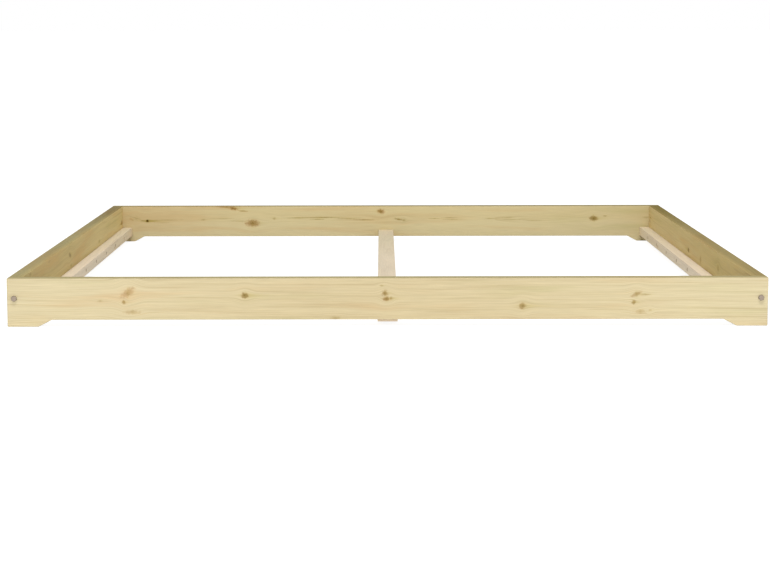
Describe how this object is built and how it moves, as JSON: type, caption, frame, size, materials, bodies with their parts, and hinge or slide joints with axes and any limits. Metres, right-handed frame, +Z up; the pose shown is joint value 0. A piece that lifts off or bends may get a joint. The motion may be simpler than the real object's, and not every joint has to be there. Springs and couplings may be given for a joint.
{
  "type": "low futon bed frame",
  "caption": "Low pine bed frame with boards round the mattress, cut-out feet, slat ledges and a centre beam, bolted at its corners.",
  "frame": {"origin": "on the floor under the middle of the bed", "axes": "+X to the right across the bed as seen from the front board, +Y from the front board to the back board, +Z up"},
  "size_m": [1.87, 2.0812, 0.12],
  "materials": {
    "lacquered_pine": "clear satin lacquer on knotty pine",
    "raw_spruce": "sawn and planed, untreated",
    "beech_dowel": "untreated, fluted",
    "zinc_steel": "dull zinc plating"
  },
  "bodies": {
    "root": {"front_board": "lacquered_pine", "back_board": "lacquered_pine", "side_board_left": "lacquered_pine", "side_board_right": "lacquered_pine", "ledge_left": "raw_spruce", "ledge_right": "raw_spruce", "centre_beam": "raw_spruce", "beam_foot": "raw_spruce", "corner_bolt_front_left": "zinc_steel", "corner_bolt_front_right": "zinc_steel", "corner_bolt_back_left": "zinc_steel", "corner_bolt_back_right": "zinc_steel", "barrel_nut_front_left": "zinc_steel", "barrel_nut_front_right": "zinc_steel", "barrel_nut_back_left": "zinc_steel", "barrel_nut_back_right": "zinc_steel", "ledge_screw_left_1": "zinc_steel", "ledge_screw_left_2": "zinc_steel", "ledge_screw_left_3": "zinc_steel", "ledge_screw_left_4": "zinc_steel", "ledge_screw_left_5": "zinc_steel", "ledge_screw_left_6": "zinc_steel", "ledge_screw_left_7": "zinc_steel", "ledge_screw_left_8": "zinc_steel", "ledge_screw_right_1": "zinc_steel", "ledge_screw_right_2": "zinc_steel", "ledge_screw_right_3": "zinc_steel", "ledge_screw_right_4": "zinc_steel", "ledge_screw_right_5": "zinc_steel", "ledge_screw_right_6": "zinc_steel", "ledge_screw_right_7": "zinc_steel", "ledge_screw_right_8": "zinc_steel", "foot_screw_front": "zinc_steel", "foot_screw_back": "zinc_steel", "corner_dowel_front_left_lower": "beech_dowel", "corner_dowel_front_left_upper": "beech_dowel", "corner_dowel_front_right_lower": "beech_dowel", "corner_dowel_front_right_upper": "beech_dowel", "corner_dowel_back_left_lower": "beech_dowel", "corner_dowel_back_left_upper": "beech_dowel", "corner_dowel_back_right_lower": "beech_dowel", "corner_dowel_back_right_upper": "beech_dowel", "beam_dowel_front_left": "beech_dowel", "beam_dowel_front_right": "beech_dowel", "beam_dowel_back_left": "beech_dowel", "beam_dowel_back_right": "beech_dowel"}
  },
  "joints": []
}
